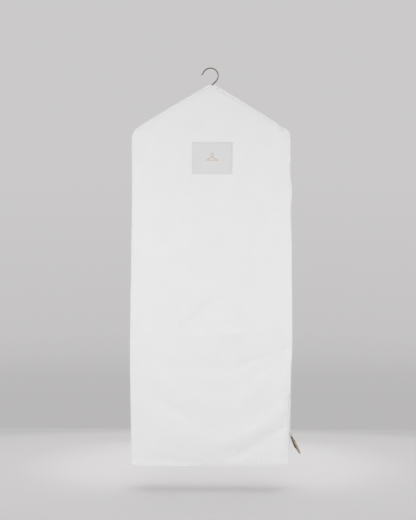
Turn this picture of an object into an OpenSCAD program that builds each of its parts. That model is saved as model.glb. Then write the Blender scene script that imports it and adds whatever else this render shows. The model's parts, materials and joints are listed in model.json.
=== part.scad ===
// Hanging garment bag with a pitched top, on a wooden hanger whose hook turns.
// Origin: the point inside the top of the hook where it rests on a rail. +Z is up, the front
// panel faces -Y and the zip runs up the +X side.

/* [Bag] */
// Width of the front panel, seam to seam
bag_w = 576; // [480:2:640]
// Height of the straight sides, up to the corner of the shoulder
side_h = 1230; // [900:10:1500]
// Rise of the pitched top above the sides
pitch_h = 170; // [120:5:180]
// Depth of the gusset between the front and back panels
bag_d = 100; // [70:5:160]
// Thickness of the cotton, hems included
cloth_t = 1; // [0.6:0.1:1.5]
// Radius of the rounded shoulders
shoulder_r = 33; // [20:1:50]
// Radius of the rounded peak
peak_r = 25; // [20:1:35]
// Radius of the bottom corners
bottom_r = 12; // [6:1:30]
// How far the piping stands out of the seam
piping_r = 2; // [1:0.5:3]

/* [Label] */
// Width of the label patch
label_w = 145; // [80:1:180]
// Height of the label patch
label_h = 116; // [60:1:140]
// Height of the label's middle above the bottom of the bag
label_z = 1140; // [900:1:1160]
// How far the label's middle lies to the right of the bag's middle
label_x = 4; // [-20:1:20]
// Thickness of the label patch
label_t = 0.8; // [0.4:0.1:1.5]

/* [Hook] */
// Radius of the hook's loop, to the middle of its wire
hook_r = 28; // [24:1:34]
// Thickness of the hook's wire
hook_wire = 4.4; // [4:0.1:5]
// Height of the hanging point above the unrounded peak of the bag
hook_rise = 60; // [58:1:66]
// How far the middle of the loop lies to the left of the shank
hook_lean = 4; // [0:1:6]

/* [Hanger] */
// Span of the wooden arms
hanger_w = 450; // [380:5:500]
// Thickness of the arms, front to back
hanger_t = 14; // [10:1:20]
// Depth of the arms at the middle
arm_mid_h = 42; // [36:1:60]
// Depth of the arms near their ends
arm_end_h = 26; // [18:1:34]

/* [Zip] */
// Height of the zip's lower end above the bottom of the bag
zip_low = 95; // [60:5:200]
// Height of the zip's upper end above the bottom of the bag
zip_high = 1165; // [800:5:1180]
// Gap between the two side strips, where the zip shows
zip_gap = 18; // [14:1:24]
// Height of the slider's middle above the bottom of the bag when the zip is shut
slider_z = 110; // [108:1:220]

/* [Pull] */
// Angle that the pull stands out from the side
pull_tilt = 26; // [20:1:35]
// Angle that the ring and the leather are turned towards the front
pull_turn = 30; // [25:1:50]
// Radius of the ring, to the middle of its wire
ring_r = 5; // [4.8:0.1:5.4]
// Thickness of the ring's wire
ring_wire = 1.8; // [1.4:0.1:2]
// Width of the leather
tab_w = 13; // [9:0.5:16]
// Length of the leather, from its fold to its point
tab_l = 70; // [40:1:90]
// Thickness of one layer of leather
leather_t = 2; // [1.2:0.1:2.2]

/* [Hidden] */
$fn = 48;

half_w = bag_w / 2;
half_d = bag_d / 2;
peak_h = side_h + pitch_h;
bag_z = -hook_rise - peak_h;
slope = atan(pitch_h / half_w);
inner_y = half_d - cloth_t;

// Corners of the outline: middle x, middle z, radius, first angle, last angle
shoulder_z = side_h - shoulder_r * tan((90 - slope) / 2);
peak_z = peak_h - peak_r / cos(slope);
CORNERS = [
    [half_w - bottom_r, bottom_r, bottom_r, 270, 360],
    [half_w - shoulder_r, shoulder_z, shoulder_r, 0, 90 - slope],
    [0, peak_z, peak_r, 90 - slope, 90 + slope],
    [shoulder_r - half_w, shoulder_z, shoulder_r, 90 + slope, 180],
    [bottom_r - half_w, bottom_r, bottom_r, 180, 270]
];
corner_steps = 10;

// Hook hole and its surroundings at the peak
hole_r = 9.5;
binding_w = 3;
binding_t = 1.2;
patch_half = 26;

// Hook: wire bends, in the loop's own plane
loop_z = hook_wire / 2 - hook_r;
tip_angle = 160;
flare_r = 9;
flare_angle = 50;
tip_more = 0.6;
neck_angle = 45;
neck_bend_r = 10;
// Each length of wire is a hair thinner than the one that it runs into
thinner = 0.03;
neck_in = 0.4;

// Hanger, measured from the bottom of the bag
roof_gap = 3;
arm_top = peak_h - 26;
arm_bottom = arm_top - arm_mid_h;
arm_tip_r = 9;
arm_flat = 12;
ferrule_r = 8;
ferrule_h = 14;
shank_fit = 0.1;
arm_bore_r = hook_wire / 2 + 0.8;
dowel_r = 1.5;
dowel_l = 30;
dowel_y = 5.2;
washer_r = 8;
washer_t = 1.2;
nut_r = 5;
nut_h = 4;
nut_gap = 0.3;
shank_z = arm_bottom - washer_t - nut_gap - nut_h - 1.5;

// Zip, seen from the side: x is counted from the outer face of the bag's right side
tape_x = -cloth_t;
tape_t = 1;
tape_half = 16;
teeth_in = 3.2;
teeth_half = 3.6;
teeth_slot = 0.8;
stop_h = 4;
stop_room = 10;
teeth_low = zip_low + 5;
teeth_high = zip_high - 7;
slider_gap = 0.4;
plate_t = 1.2;
slider_l = 14;
slider_half = 5;
lip_t = 0.8;
web_t = 1;
web_l = 6;
plate_out = slider_gap + plate_t;

// Bail and pull
bail_t = 1.6;
bail_wall = 1.3;
bail_room = 6.1;
bail_half = 6.2;
pivot_x = plate_out + 3.1;
pivot_dz = -2.6;
fold_room = [2.8, 4];
fold_w = 4.6;
fold_h = 8;
tab_point = 14;
fold_top = (fold_room[1] - fold_room[0]) / 2 - 2 * ring_r;
thread_at = 15;
thread_h = 2.6;
thread_t = 0.5;

// Points of the bag's outline, moved inwards by d
function outline(d) = [for (c = CORNERS) for (i = [0:corner_steps])
    let (a = c[3] + (c[4] - c[3]) * i / corner_steps)
    [c[0] + (c[2] - d) * cos(a), c[1] + (c[2] - d) * sin(a)]];

// Height of the cloth's inner face above the bottom of the bag, at x on the slope
function roof(x) = peak_h - abs(x) * tan(slope) - cloth_t / cos(slope);

// Everything on the bag is drawn with z = 0 at its bottom and x = 0 at its middle
module on_bag() {
    translate([hook_lean, 0, bag_z]) children();
}

// A flat shape in x and z, from y0 to y1
module slab(y0, y1) {
    translate([0, y1, 0]) rotate([90, 0, 0]) linear_extrude(y1 - y0) children();
}

// A box from its low corner to its high corner
module block(low, high) {
    translate(low) cube(high - low);
}

// The closed band of cloth between the panels, from y0 to y1, from d0 to d1 inside the outline
module band(y0, y1, d0, d1) {
    slab(y0, y1) difference() {
        polygon(outline(d0));
        polygon(outline(d1));
    }
}

module wire_arc(r, a0, a1, wire) {
    rotate([90, 0, 0]) rotate([0, 0, a0]) rotate_extrude(angle = a1 - a0) translate([r, 0])
        circle(d = wire);
}

module hook() {
    tip = [hook_r * cos(tip_angle), hook_r * sin(tip_angle)];
    flare = (hook_r + flare_r) / hook_r * tip;
    neck_x = hook_r * cos(neck_angle);
    bend_run = neck_bend_r * tan(neck_angle / 2);
    bend_x = hook_lean + neck_bend_r;
    bend_z = -neck_x - (neck_x - hook_lean) - bend_run;
    neck_l = (neck_x - hook_lean) / cos(neck_angle) - bend_run;
    shank_top = loop_z + bend_z;
    color("dimgray") {
        translate([0, 0, loop_z]) {
            wire_arc(hook_r, -neck_angle, tip_angle, hook_wire);
            translate([flare[0], 0, flare[1]]) {
                wire_arc(flare_r, tip_angle - 180 - flare_angle, tip_angle - 178,
                    hook_wire - thinner);
                rotate([0, 180 - tip_angle + flare_angle, 0]) translate([flare_r, 0, 0])
                    sphere(d = hook_wire + tip_more);
            }
            translate([neck_x, 0, -neck_x]) rotate([0, 180 + neck_angle, 0])
                translate([0, 0, -neck_in])
                cylinder(h = neck_l + neck_in, d = hook_wire - thinner);
            translate([bend_x, 0, bend_z])
                wire_arc(neck_bend_r, 178 - neck_angle, 182, hook_wire - 2 * thinner);
        }
        translate([hook_lean, 0, bag_z + shank_z])
            cylinder(h = shank_top - bag_z - shank_z, d = hook_wire);
    }
}

module hook_nut() {
    color("dimgray") on_bag() translate([0, 0, arm_bottom - washer_t - nut_gap - nut_h])
        difference() {
            cylinder(h = nut_h, r = nut_r, $fn = 6);
            translate([0, 0, -1]) cylinder(h = nut_h + 2, d = hook_wire);
        }
}

module hook_washer() {
    color("silver") on_bag() translate([0, 0, arm_bottom - washer_t]) difference() {
        cylinder(h = washer_t, r = washer_r);
        translate([0, 0, -1]) cylinder(h = washer_t + 2, r = hook_wire / 2 + shank_fit);
    }
}

module hanger_ferrule() {
    color("dimgray") on_bag() translate([0, 0, arm_top]) difference() {
        union() {
            cylinder(h = 2, r = ferrule_r);
            cylinder(h = ferrule_h, r = ferrule_r - 2);
        }
        translate([0, 0, -1]) cylinder(h = ferrule_h + 2, r = hook_wire / 2 + shank_fit);
    }
}

// Half of the hanger, to the right of its middle
module arm_half() {
    flat_x = (roof(0) - roof_gap - arm_top) / tan(slope);
    tip_x = hanger_w / 2 - arm_tip_r;
    tip_top = roof(tip_x) - roof_gap;
    tip_low = tip_top - arm_end_h;
    difference() {
        slab(-hanger_t / 2, hanger_t / 2) polygon([[0, arm_bottom], [arm_flat, arm_bottom],
            [tip_x, tip_low], [hanger_w / 2, tip_low + arm_tip_r],
            [hanger_w / 2, tip_top - arm_tip_r], [tip_x, tip_top], [flat_x, arm_top],
            [0, arm_top]]);
        translate([0, 0, arm_bottom - 1]) cylinder(h = arm_mid_h + 2, r = arm_bore_r);
        dowels();
    }
}

module dowels() {
    for (y = [-dowel_y, dowel_y]) translate([-dowel_l / 2, y, (arm_top + arm_bottom) / 2])
        rotate([0, 90, 0]) cylinder(h = dowel_l, r = dowel_r);
}

module hanger_arm_left() {
    color("burlywood") on_bag() mirror([1, 0, 0]) arm_half();
}

module hanger_arm_right() {
    color("burlywood") on_bag() arm_half();
}

module arm_dowels() {
    color("tan") on_bag() dowels();
}

module front_panel() {
    color("whitesmoke") on_bag() slab(-half_d, -inner_y) polygon(outline(0));
}

module back_panel() {
    color("whitesmoke") on_bag() slab(inner_y, half_d) polygon(outline(0));
}

module gusset_top_right() {
    color("white") on_bag() intersection() {
        band(-inner_y, inner_y, 0, cloth_t);
        block([patch_half, -half_d, shoulder_z], [bag_w, half_d, peak_h]);
    }
}

module gusset_top_left() {
    color("white") on_bag() intersection() {
        band(-inner_y, inner_y, 0, cloth_t);
        block([-bag_w, -half_d, shoulder_z], [-patch_half, half_d, peak_h]);
    }
}

// Reinforced patch over the peak, with the hole for the hook
module peak_patch() {
    color("white") on_bag() difference() {
        intersection() {
            band(-inner_y, inner_y, 0, cloth_t);
            block([-patch_half, -half_d, side_h], [patch_half, half_d, peak_h]);
        }
        translate([0, 0, side_h]) cylinder(h = peak_h, r = hole_r);
    }
}

module hook_hole_binding() {
    color("gainsboro") on_bag() intersection() {
        band(-half_d, half_d, -binding_t, 0);
        translate([0, 0, side_h]) difference() {
            cylinder(h = peak_h, r = hole_r + binding_w);
            cylinder(h = peak_h, r = hole_r);
        }
    }
}

module gusset_left() {
    color("white") on_bag()
        block([-half_w, -inner_y, bottom_r], [cloth_t - half_w, inner_y, shoulder_z]);
}

module gusset_bottom() {
    color("white") on_bag() intersection() {
        band(-inner_y, inner_y, 0, cloth_t);
        block([-bag_w, -half_d, 0], [bag_w, half_d, bottom_r]);
    }
}

// A strip of the right side, from y0 to y1 and from z0 to z1
module side_strip(y0, y1, z0, z1) {
    color("white") on_bag() block([half_w - cloth_t, y0, z0], [half_w, y1, z1]);
}

module side_strip_front() {
    side_strip(-inner_y, -zip_gap / 2, bottom_r, shoulder_z);
}

module side_strip_rear() {
    side_strip(zip_gap / 2, inner_y, bottom_r, shoulder_z);
}

module side_strip_upper() {
    side_strip(-zip_gap / 2, zip_gap / 2, zip_high, shoulder_z);
}

module side_strip_lower() {
    side_strip(-zip_gap / 2, zip_gap / 2, bottom_r, zip_low);
}

module front_piping() {
    color("ivory") on_bag() band(-half_d - piping_r / 2, piping_r - half_d, -piping_r, 0);
}

module back_piping() {
    color("ivory") on_bag() band(half_d - piping_r, half_d + piping_r / 2, -piping_r, 0);
}

module label_patch() {
    color("lightgray") on_bag() translate([label_x, 0, label_z])
        block([-label_w / 2, -half_d - label_t, -label_h / 2], [label_w / 2, -half_d, label_h / 2]);
}

// Coat-hanger pictogram: a hook above a flat triangle with a round end at each corner
module label_motif() {
    motif_t = 0.4;
    line_w = 2.2;
    foot = [21, -8];
    top = [0, 5];
    color("tan") on_bag() translate([label_x, 0, label_z])
        slab(-half_d - label_t - motif_t, -half_d - label_t) {
            for (side = [-1, 1]) stroke([side * foot[0], foot[1]], top, line_w);
            stroke(foot, [-foot[0], foot[1]], line_w);
            stroke(top, [0, 10], line_w);
            translate([0, 14]) intersection() {
                difference() {
                    circle(r = 4 + line_w / 2);
                    circle(r = 4 - line_w / 2);
                }
                polygon([[0, 0], [0, -8], [8, -8], [8, 8], [-8, 8], [-8, 0]]);
            }
        }
}

// A straight line of width w with round ends
module stroke(from, to, w) {
    run = to - from;
    translate(from) rotate(atan2(run[1], run[0])) translate([0, -w / 2])
        square([norm(run), w]);
    for (end = [from, to]) translate(end) circle(d = w);
}

// Parts of the zip and its slider are drawn with x = 0 at the outer face of the right side
module on_zip() {
    on_bag() translate([half_w, 0, 0]) children();
}

module zip_tape() {
    block([tape_x - tape_t, teeth_half, zip_low - stop_room],
        [tape_x, tape_half, zip_high + stop_room]);
}

module zip_tape_front() {
    color("whitesmoke") on_zip() mirror([0, 1, 0]) zip_tape();
}

module zip_tape_rear() {
    color("whitesmoke") on_zip() zip_tape();
}

module zip_teeth() {
    block([-teeth_in, teeth_slot, teeth_low], [0, teeth_half, teeth_high]);
}

module zip_teeth_front() {
    color("white") on_zip() mirror([0, 1, 0]) zip_teeth();
}

module zip_teeth_rear() {
    color("white") on_zip() zip_teeth();
}

// A metal clip across the end of the teeth
module zip_stop(z) {
    color("silver") on_zip() block([-teeth_in, -teeth_half, z], [0, teeth_half, z + stop_h]);
}

module zip_top_stop() {
    zip_stop(teeth_high);
}

module zip_bottom_stop() {
    zip_stop(teeth_low - stop_h);
}

// One plate of the slider with its two lips, its outer face up
module slider_plate() {
    linear_extrude(plate_t) intersection() {
        square([slider_l, 2 * slider_half], center = true);
        union() {
            circle(r = slider_l / 2 + 0.4);
            translate([-slider_l / 2, -slider_half]) square([slider_l / 2, 2 * slider_half]);
        }
    }
    for (side = [-1, 1]) translate([-3.5, side * (slider_half - lip_t / 2), -0.5])
        cube([slider_l - 7, lip_t, 1], center = true);
}

module slider_body() {
    color("darkgray") on_zip() translate([0, 0, slider_z]) union() {
        translate([slider_gap, 0, 0]) rotate([0, 90, 0]) slider_plate();
        translate([-teeth_in - slider_gap, 0, 0]) mirror([1, 0, 0]) rotate([0, 90, 0])
            slider_plate();
        block([-teeth_in - slider_gap - 0.5, -web_t / 2, -web_l / 2],
            [slider_gap + 0.5, web_t / 2, web_l / 2]);
    }
}

// Bridge on the slider's outer plate that the ring runs through
module slider_bail() {
    color("darkgray") on_zip() translate([plate_out, 0, slider_z])
        slab(-bail_t / 2, bail_t / 2) difference() {
            bail_shape(bail_half, bail_room + bail_wall, 3);
            bail_shape(bail_half - bail_wall, bail_room, 2);
        }
}

// Half-round-cornered rectangle that stands on x = 0
module bail_shape(half, height, r) {
    translate([0, -half]) square([height - r, 2 * half]);
    translate([0, r - half]) square([height, 2 * (half - r)]);
    for (z = [r - half, half - r]) translate([height - r, z]) circle(r = r);
}

// The pull is drawn hanging down from its pivot, with its faces across x, then turned and tilted
module on_pivot() {
    on_zip() translate([pivot_x, 0, slider_z + pivot_dz]) rotate([0, -pull_tilt, 0])
        rotate([0, 0, -pull_turn]) children();
}

module pull_ring() {
    color("darkgray") on_pivot() translate([0, 0, -ring_r]) rotate([0, 90, 0])
        rotate_extrude() translate([ring_r, 0]) circle(d = ring_wire, $fn = 24);
}

// Two layers of leather, folded round the ring at the top and cut to a point at the bottom
module pull_tab() {
    fold_r = fold_room[0] / 2 + leather_t;
    layers = 2 * leather_t;
    color("peru") on_pivot() difference() {
        union() {
            translate([0, fold_w / 2, fold_top]) rotate([90, 0, 0])
                cylinder(h = fold_w, r = fold_r);
            translate([-fold_r, -fold_w / 2, fold_top - fold_room[1]])
                cube([2 * fold_r, fold_w, fold_room[1]]);
            translate([-layers / 2, 0, fold_top]) rotate([90, 0, 90]) linear_extrude(layers)
                polygon([[-fold_w / 2, -4], [-tab_w / 2, -fold_h - 4],
                    [-tab_w / 2, tab_point - tab_l], [0, -tab_l],
                    [tab_w / 2, tab_point - tab_l], [tab_w / 2, -fold_h - 4], [fold_w / 2, -4]]);
        }
        translate([0, tab_w, fold_top]) rotate([90, 0, 0])
            cylinder(h = 2 * tab_w, d = fold_room[0]);
        translate([-fold_room[0] / 2, -tab_w, fold_top + fold_room[0] / 2 - fold_room[1]])
            cube([fold_room[0], 2 * tab_w, fold_room[1] - fold_room[0] / 2]);
    }
}

// Waxed thread wound round both layers of leather, a little below the fold
module tab_binding() {
    color("saddlebrown") on_pivot() translate([0, 0, fold_top - thread_at]) difference() {
        cube([2 * (leather_t + thread_t), tab_w + 2 * thread_t, thread_h], center = true);
        cube([2 * leather_t, tab_w, thread_h + 1], center = true);
    }
}

hook();
hook_nut();
hook_washer();
hanger_ferrule();
hanger_arm_left();
hanger_arm_right();
arm_dowels();
front_panel();
back_panel();
gusset_top_left();
gusset_top_right();
peak_patch();
hook_hole_binding();
gusset_left();
gusset_bottom();
side_strip_front();
side_strip_rear();
side_strip_upper();
side_strip_lower();
front_piping();
back_piping();
label_patch();
label_motif();
zip_tape_front();
zip_tape_rear();
zip_teeth_front();
zip_teeth_rear();
zip_top_stop();
zip_bottom_stop();
slider_body();
slider_bail();
pull_ring();
pull_tab();
tab_binding();
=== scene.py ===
"""Looks of a hanging garment bag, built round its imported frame.

Metres, +Z up, front towards -Y. Cloth is drawn in bag coordinates (u across, y deep, w above the
bottom of the bag) and then hung, all pieces alike, so that seams meet.
"""
import json
import math
import bpy
import numpy as np
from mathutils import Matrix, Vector


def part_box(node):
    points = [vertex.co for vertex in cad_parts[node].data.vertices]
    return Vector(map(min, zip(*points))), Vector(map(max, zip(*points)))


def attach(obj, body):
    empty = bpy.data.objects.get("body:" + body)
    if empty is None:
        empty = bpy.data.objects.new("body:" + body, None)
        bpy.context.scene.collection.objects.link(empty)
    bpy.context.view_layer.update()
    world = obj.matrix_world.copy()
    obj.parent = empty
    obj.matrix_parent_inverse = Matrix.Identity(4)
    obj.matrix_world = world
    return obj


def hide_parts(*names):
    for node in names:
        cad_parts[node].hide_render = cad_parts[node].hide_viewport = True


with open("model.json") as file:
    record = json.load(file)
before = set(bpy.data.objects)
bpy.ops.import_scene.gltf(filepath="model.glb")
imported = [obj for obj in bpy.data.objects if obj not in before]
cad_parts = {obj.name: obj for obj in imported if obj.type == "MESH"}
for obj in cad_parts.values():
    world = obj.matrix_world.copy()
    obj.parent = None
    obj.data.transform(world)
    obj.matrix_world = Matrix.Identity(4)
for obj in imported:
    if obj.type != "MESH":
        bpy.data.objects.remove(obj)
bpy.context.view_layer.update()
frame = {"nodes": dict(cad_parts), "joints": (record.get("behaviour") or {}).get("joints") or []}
JOINTS = {j["name"]: j for j in frame["joints"]}

# ---- sizes
PANEL_LOW, PANEL_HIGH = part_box("front_panel")
MID_X = (PANEL_LOW.x + PANEL_HIGH.x) / 2
BOTTOM_Z = PANEL_LOW.z
HALF_W = (PANEL_HIGH.x - PANEL_LOW.x) / 2
HALF_D = -PANEL_LOW.y
CLOTH = 0.0009  # how thick it is
SIDE_H = 1.230
PITCH_H = 0.170
SHOULDER_R = 0.033
PEAK_R = 0.025
BOTTOM_R = 0.012
PIPING_R = 0.0019
STITCH_PITCH, STITCH_L, THREAD_R = .0034, .0024, .00028
SLOPE = math.atan2(PITCH_H, HALF_W)
SHOULDER_Z = SIDE_H - SHOULDER_R * math.tan((math.pi / 2 - SLOPE) / 2)
PEAK_Z = SIDE_H + PITCH_H - PEAK_R / math.cos(SLOPE)
TURN = math.pi / 2 - SLOPE
# How far from the zip's middle the cloth lies flat
ZIP_CALM = 0.017

# How far from the middle the sides begin to hang out of line
SIDE_FROM = .09
# How far the gussets sink between the panels: sides, floor and slopes
SIDE_HOLLOW, FLOOR_HOLLOW, SLOPE_HOLLOW = .003, .0022, .0012
# How far the sides hang out of line: (height, outwards)
LEFT_SIDE = [(0, .0025), (.15, .0055), (.45, .008), (.54, .006), (.8, .0013), (1.0, -.0025),
             (1.21, -.002)]
RIGHT_SEAM = [(0, -.006), (.03, -.0085), (.12, -.011), (.24, -.009), (.3, 0), (.45, .0065),
              (.8, .003), (.94, -.0005), (1.02, .003), (1.09, -.0045), (1.21, -.004)]
REAR_SEAM = [(0, -.006), (.03, -.0085), (.1, .001), (.24, .0025), (.3, .003), (.45, .0065),
             (.8, .003), (.94, -.0005), (1.21, -.004)]
# How far the slopes hang out of line: (distance from the middle, upwards)
LEFT_SLOPE = [(0, .0034), (.07, .0045), (.2, .0055), (.25, .004), (.276, 0), (.288, 0)]
RIGHT_SLOPE = [(0, .0034), (.07, .0045), (.16, .0025), (.228, .001), (.252, -.0032), (.276, 0),
               (.288, 0)]
# How far the bottom seam hangs out of line: (u, upwards)
BOTTOM_SEAM = [(-.288, 0), (-.24, -.0008), (-.207, .0012), (-.17, 0), (.12, .0005), (.288, .006)]
# Slow drifts of all the cloth: axis, size of one drift, amount
DRIFTS = (0, .11, .0007), (1, .13, .0012), (2, .09, .0005)
# How near a seam the cloth's relief dies away, and the pitch and reach of a seam's puckers
SEAM_FLAT, PUCKER_PITCH, PUCKER_REACH = .008, .017, .009
# How far the panels fill out, and the heights of their waves, ripples and seam puckers
PANEL_FILL, PANEL_WAVE, PANEL_RIPPLE = .0062, .0006, .0003
SIDE_PUCKER, TOP_PUCKER, BOTTOM_PUCKER = .0007, .0005, .0006
# Soft folds of the front panel: u and w of both ends, width, height
FOLDS = [
    (-.100, .520, .000, .606, .024, -.0044),
    (.035, .497, .095, .494, .016, .0026),
    (-.230, .372, .110, .372, .030, -.0024),
    (.120, .380, .285, .448, .018, -.0026),
    (.285, .350, .150, .270, .050, .0034),
    (-.150, .222, -.118, .200, .026, -.0040),
    (.285, .215, .060, .085, .036, .0044),
    (.285, .150, .100, .045, .020, -.0034),
    (-.285, 1.105, .285, 1.100, .034, .0020),
    (-.260, 1.030, -.225, .480, .040, .0026),
    (.250, 1.000, .262, .520, .034, .0024),
    (-.150, 1.225, .150, 1.225, .040, -.0018),
]


# ---- numbers
def smooth(t):
    """0 below 0, 1 above 1, and smooth between."""
    t = np.clip(t, 0, 1)
    return t * t * (3 - 2 * t)


def profile(stations, at):
    """A smooth line through (place, amount) pairs."""
    spots, amounts = np.array(stations, float).T
    i = np.clip(np.searchsorted(spots, at) - 1, 0, len(spots) - 2)
    t = smooth((at - spots[i]) / (spots[i + 1] - spots[i]))
    return amounts[i] + (amounts[i + 1] - amounts[i]) * t


def join(*parts):
    """Points from their coordinates, which may be arrays or single numbers."""
    return np.stack(np.broadcast_arrays(*parts), -1)


NOISE_CELLS = 32


def noise(x, y, z, size, seed):
    """Smooth noise from -1 to 1, with features of about size metres."""
    table = np.random.default_rng(seed).uniform(-1, 1, (NOISE_CELLS,) * 3)
    at = join(x, y, z) / size
    low = np.floor(at).astype(int)
    part = smooth(at - low)
    result = 0
    for step in np.ndindex(2, 2, 2):
        weight = np.prod(np.where(step, part, 1 - part), -1)
        index = (low + step) % NOISE_CELLS
        result = result + weight * table[index[..., 0], index[..., 1], index[..., 2]]
    return result


# ---- the bag's outline
def line(start, end):
    """A straight stretch of the outline: its length, and its points and normals by distance."""
    start, end = np.array(start), np.array(end)
    run = end - start
    length = np.linalg.norm(run)
    normal = np.array([run[1], -run[0]]) / length
    return length, lambda s: (start + run * s[:, None] / length, np.tile(normal, (len(s), 1)))


def arc(centre, radius, first, last):
    """A round stretch of the outline, as line() gives it."""
    def at(s):
        angle = first + s / radius
        normal = join(np.cos(angle), np.sin(angle))
        return np.array(centre) + radius * normal, normal
    return radius * (last - first), at


def corner(centre_x, centre_z, radius, angle):
    """Where a rounded corner meets the straight stretch beside it."""
    return centre_x + radius * math.cos(angle), centre_z + radius * math.sin(angle)


RIGHT_HALF = [
    line((0, 0), (HALF_W - BOTTOM_R, 0)),
    arc((HALF_W - BOTTOM_R, BOTTOM_R), BOTTOM_R, -math.pi / 2, 0),
    line((HALF_W, BOTTOM_R), (HALF_W, SHOULDER_Z)),
    arc((HALF_W - SHOULDER_R, SHOULDER_Z), SHOULDER_R, 0, TURN),
    line(corner(HALF_W - SHOULDER_R, SHOULDER_Z, SHOULDER_R, TURN),
         corner(0, PEAK_Z, PEAK_R, TURN)),
    arc((0, PEAK_Z), PEAK_R, TURN, math.pi / 2),
]
STARTS = np.cumsum([0] + [length for length, _ in RIGHT_HALF])
HALF_LOOP = STARTS[-1]
LOOP = 2 * HALF_LOOP
SIDE_START, SIDE_END = STARTS[2], STARTS[3]


def outline(s):
    """Points and outward normals of the outline, s metres along it from the bottom's middle."""
    s = np.mod(s, LOOP)
    mirror = np.where(s > HALF_LOOP, -1.0, 1.0)
    along = np.where(s > HALF_LOOP, LOOP - s, s)
    points, normals = np.zeros((len(s), 2)), np.zeros((len(s), 2))
    for k, (_, at) in enumerate(RIGHT_HALF):
        inside = (along >= STARTS[k]) & ((along < STARTS[k + 1]) | (k == len(RIGHT_HALF) - 1))
        points[inside], normals[inside] = at(along[inside] - STARTS[k])
    points[:, 0] *= mirror
    normals[:, 0] *= mirror
    return points, normals


def top_at(u):
    """Height of the outline's top at u."""
    a = np.abs(u)
    shoulder_x = HALF_W - SHOULDER_R
    straight = SIDE_H + PITCH_H - a * math.tan(SLOPE)
    peak = PEAK_Z + np.sqrt(np.maximum(PEAK_R**2 - a**2, 0))
    shoulder = SHOULDER_Z + np.sqrt(np.maximum(SHOULDER_R**2 - (a - shoulder_x) ** 2, 0))
    height = np.where(a < PEAK_R * math.sin(SLOPE), peak, straight)
    return np.where(a > shoulder_x + SHOULDER_R * math.sin(SLOPE), shoulder, height)


def bottom_at(u):
    """Height of the outline's bottom at u."""
    past = np.maximum(np.abs(u) - (HALF_W - BOTTOM_R), 0)
    return BOTTOM_R - np.sqrt(np.maximum(BOTTOM_R**2 - past**2, 0))


# ---- how the cloth hangs
def hang(points):
    """Nominal points of the bag, hung: in the row frame."""
    p = np.array(points, float)
    u, y, w = p[..., 0].copy(), p[..., 1].copy(), p[..., 2].copy()
    deep = np.minimum(np.abs(y), HALF_D)
    calm = smooth((deep - ZIP_CALM) / (HALF_D - ZIP_CALM - .002))
    calm = 1 - (1 - calm) * smooth((w - .03) / .05)
    right = smooth((u - SIDE_FROM) / (HALF_W - SIDE_FROM))
    left = smooth((-u - SIDE_FROM) / (HALF_W - SIDE_FROM))
    hollow = 1 - (deep / HALF_D) ** 2
    rear = smooth((y + HALF_D) / (2 * HALF_D))
    out = profile(RIGHT_SEAM, w) * (1 - rear) + profile(REAR_SEAM, w) * rear
    p[..., 0] += out * right * calm
    p[..., 0] -= (profile(LEFT_SIDE, w) - SIDE_HOLLOW * hollow * smooth(w / .2)) * left
    roof = np.exp(-((top_at(u) - w) / .06) ** 2)
    beside = smooth((np.abs(u) - .02) / .05) * smooth((.27 - np.abs(u)) / .03)
    droop = SLOPE_HOLLOW * beside * smooth((deep - .008) / (HALF_D - .008))
    slope = np.where(u > 0, profile(RIGHT_SLOPE, u), profile(LEFT_SLOPE, -u))
    p[..., 2] += roof * (slope - droop)
    p[..., 2] += np.exp(-((w / .07) ** 2)) * (profile(BOTTOM_SEAM, u) - FLOOR_HOLLOW * hollow)
    drift = smooth((deep - ZIP_CALM) / .03) + smooth((HALF_W - .02 - np.abs(u)) / .03)
    drift = np.clip(drift, 0, 1) * smooth((SIDE_H + PITCH_H - .03 - w) / .08)
    for axis, size, amount in DRIFTS:
        p[..., axis] += amount * drift * noise(u, y * .5, w, size, 40 + axis)
    return p + np.array([MID_X, 0, BOTTOM_Z])


def pucker(along, away, strength, seed):
    """Small waves that a seam gathers into the cloth beside it."""
    phase = along / PUCKER_PITCH + 2.1 * noise(along, 0, 0, .05, seed)
    size = .55 + .45 * noise(along, 0, 0, .09, seed + 1)
    reach = away / PUCKER_REACH
    return strength * size * np.sin(2 * math.pi * phase) * reach * np.exp(1 - reach) * .5


def fold(u, w, first_u, first_w, last_u, last_w, width, height):
    """Height of one soft fold at u and w. It wanders a little off its straight line."""
    run = np.array([last_u - first_u, last_w - first_w])
    length = np.linalg.norm(run)
    t = ((u - first_u) * run[0] + (w - first_w) * run[1]) / length**2
    away = ((u - first_u) * run[1] - (w - first_w) * run[0]) / length
    past = np.maximum(np.abs(t - .5) - .5, 0) * length
    wander = .25 * width * noise(u, w, 0, .06, 71)
    return height * np.exp(-((away + wander) / width) ** 2 - (past / (1.6 * width)) ** 2)


def panel_relief(u, w, side):
    """How far a panel stands out of its flat place. side is -1 in front and 1 behind."""
    from_side = HALF_W - np.abs(u)
    from_top = (top_at(u) - w) * math.cos(SLOPE)
    from_bottom = w - bottom_at(u)
    fill = smooth(from_side / .17) * smooth(from_top / .2) * smooth(from_bottom / .14)
    seed = 11 if side < 0 else 23
    relief = PANEL_FILL * fill * (1 + .25 * noise(u, w, 0, .35, seed))
    relief += PANEL_WAVE * fill * noise(u, w * .35, 0, .085, seed + 1)
    relief += PANEL_RIPPLE * smooth(from_side / .05) * noise(u * .6, w, 0, .045, seed + 2)
    if side < 0:
        relief += sum(fold(u, w, *f) for f in FOLDS)
    low_right = 1 + .8 * np.exp(-((w - .1) / .2) ** 2) * smooth(u / .2)
    relief += pucker(w, from_side, SIDE_PUCKER * low_right, seed + 3)
    relief += pucker(u, from_top, TOP_PUCKER, seed + 4)
    relief += pucker(u, from_bottom, BOTTOM_PUCKER * low_right, seed + 5)
    nearest = np.minimum(np.minimum(from_side, from_top), from_bottom)
    return relief * smooth(nearest / SEAM_FLAT)


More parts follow.
